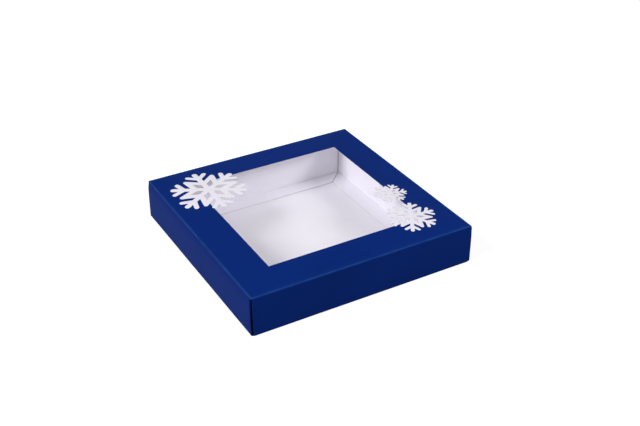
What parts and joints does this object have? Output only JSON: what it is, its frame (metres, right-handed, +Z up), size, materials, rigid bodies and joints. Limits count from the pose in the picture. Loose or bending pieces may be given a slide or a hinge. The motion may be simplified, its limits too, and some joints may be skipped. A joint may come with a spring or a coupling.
{
  "type": "chocolate box",
  "caption": "Square two-piece folding-carton gift box: a blue lid with a film window and white snowflakes lifts off a white hollow-wall tray.",
  "frame": {"origin": "on the table, under the middle of the closed box", "axes": "+Z up, -Y towards the front side, +X towards the right side; the large snowflake is at the back left corner of the window"},
  "size_m": [0.2, 0.2, 0.035],
  "materials": {
    "printed_card": "satin blue print on white-backed boxboard",
    "white_card": "matte cool white boxboard, uncoated",
    "clear_film": "clear glossy film"
  },
  "bodies": {
    "tray": {"tray_floor": "white_card", "tray_outer_wall_front": "white_card", "tray_outer_wall_right": "white_card", "tray_outer_wall_back": "white_card", "tray_outer_wall_left": "white_card", "tray_ledge_front": "white_card", "tray_ledge_right": "white_card", "tray_ledge_back": "white_card", "tray_ledge_left": "white_card", "tray_inner_wall_front": "white_card", "tray_inner_wall_right": "white_card", "tray_inner_wall_back": "white_card", "tray_inner_wall_left": "white_card", "tray_corner_tab_front_left": "white_card", "tray_corner_tab_front_right": "white_card", "tray_corner_tab_back_left": "white_card", "tray_corner_tab_back_right": "white_card"},
    "lid": {"lid_top_panel": "printed_card", "lid_wall_front": "printed_card", "lid_wall_right": "printed_card", "lid_wall_back": "printed_card", "lid_wall_left": "printed_card", "lid_hem_front": "printed_card", "lid_hem_right": "printed_card", "lid_hem_back": "printed_card", "lid_hem_left": "printed_card", "lid_corner_tab_front_left": "printed_card", "lid_corner_tab_front_right": "printed_card", "lid_corner_tab_back_left": "printed_card", "lid_corner_tab_back_right": "printed_card", "window_film": "clear_film"},
    "flap_front": {"tray_floor_flap_front": "white_card"},
    "flap_right": {"tray_floor_flap_right": "white_card"},
    "flap_back": {"tray_floor_flap_back": "white_card"},
    "flap_left": {"tray_floor_flap_left": "white_card"}
  },
  "joints": [
    {"name": "lid_lift", "type": "slide", "parent": "tray", "child": "lid", "axis": [0, 0, 1], "range_m": [0, 0.06]},
    {"name": "flap_front_fold", "type": "hinge", "parent": "tray", "child": "flap_front", "pos_m": [0, -0.08195, 0.00105], "axis": [1, 0, 0], "range_deg": [0, 90]},
    {"name": "flap_right_fold", "type": "hinge", "parent": "tray", "child": "flap_right", "pos_m": [0.08195, 0, 0.00105], "axis": [0, 1, 0], "range_deg": [0, 90]},
    {"name": "flap_back_fold", "type": "hinge", "parent": "tray", "child": "flap_back", "pos_m": [0, 0.08195, 0.00105], "axis": [-1, 0, 0], "range_deg": [0, 90]},
    {"name": "flap_left_fold", "type": "hinge", "parent": "tray", "child": "flap_left", "pos_m": [-0.08195, 0, 0.00105], "axis": [0, -1, 0], "range_deg": [0, 90]}
  ]
}
